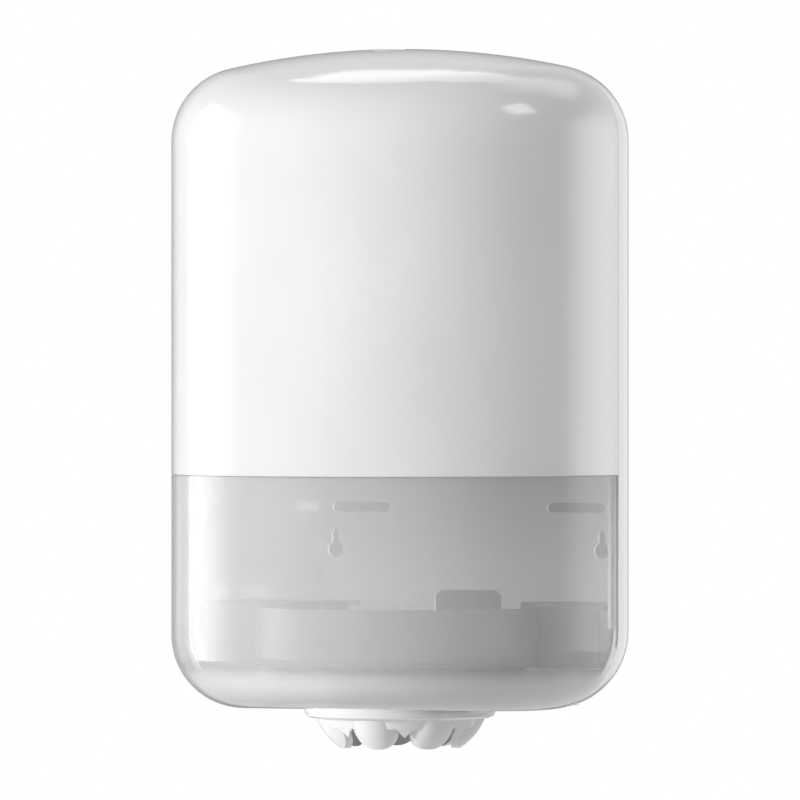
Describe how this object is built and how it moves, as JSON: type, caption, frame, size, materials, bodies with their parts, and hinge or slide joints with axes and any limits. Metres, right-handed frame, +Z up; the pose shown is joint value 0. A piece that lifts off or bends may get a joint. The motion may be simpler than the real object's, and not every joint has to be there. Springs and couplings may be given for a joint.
{
  "type": "centrefeed roll dispenser",
  "caption": "Wall-mounted centrefeed paper roll dispenser with a drop-down moulded cover, translucent lower window, push-button key lock and twist-off petal nozzle underneath",
  "frame": {"origin": "middle of the four keyholes, on the wall plane at the back of the dispenser", "axes": "+X to the right seen from the front, +Y into the wall, +Z up"},
  "size_m": [0.238, 0.23, 0.3626],
  "materials": {
    "shell_white": "high-gloss moulded white plastic",
    "window_grey": "glossy translucent pale grey plastic",
    "inner_white": "satin moulded off-white plastic",
    "tray_grey": "satin moulded pale grey plastic",
    "nozzle_white": "glossy moulded white plastic",
    "button_grey": "glossy moulded pale plastic",
    "barrel_grey": "matte mid-grey plastic",
    "steel": "plated steel"
  },
  "bodies": {
    "cabinet": {"back_shell": "shell_white", "roll_tray": "tray_grey", "tray_screws": "steel", "hinge_pin_left": "steel", "hinge_pin_right": "steel", "latch_strike": "steel", "strike_screws": "steel"},
    "cover": {"cover_shell": "shell_white", "cover_window": "window_grey", "lock_housing": "inner_white", "lock_screws": "steel", "latch_pin": "steel", "latch_spring": "steel", "button_spring": "steel"},
    "button": {"lock_button": "button_grey"},
    "barrel": {"lock_barrel": "barrel_grey", "lock_cam": "steel", "barrel_clip": "steel"},
    "latch": {"latch_hook": "inner_white"},
    "outlet": {"nozzle": "nozzle_white", "paper_guide": "inner_white"}
  },
  "joints": [
    {"name": "cover_hinge", "type": "hinge", "parent": "cabinet", "child": "cover", "pos_m": [0, -0.1135, -0.1763], "axis": [1, 0, 0], "range_deg": [0, 100]},
    {"name": "button_press", "type": "slide", "parent": "cover", "child": "button", "axis": [0, 0, -1], "range_m": [0, 0.0024], "stiffness_N_per_m": 500, "springref_m": -0.004, "deforming": ["button_spring"]},
    {"name": "lock_turn", "type": "hinge", "parent": "button", "child": "barrel", "pos_m": [0, -0.1315, 0.1552], "axis": [0, 0, 1], "range_deg": [-90, 0]},
    {"name": "latch_swing", "type": "hinge", "parent": "cover", "child": "latch", "pos_m": [0, -0.1445, 0.14023], "axis": [-1, 0, 0], "range_deg": [0, 7], "deforming": ["latch_spring"]},
    {"name": "nozzle_twist", "type": "hinge", "parent": "cabinet", "child": "outlet", "pos_m": [0, -0.1135, -0.1748], "axis": [0, 0, 1], "range_deg": [0, 35]}
  ],
  "couplings": [
    {"joint": "latch_swing", "follows": "button_press", "rad_per_m": 48}
  ]
}
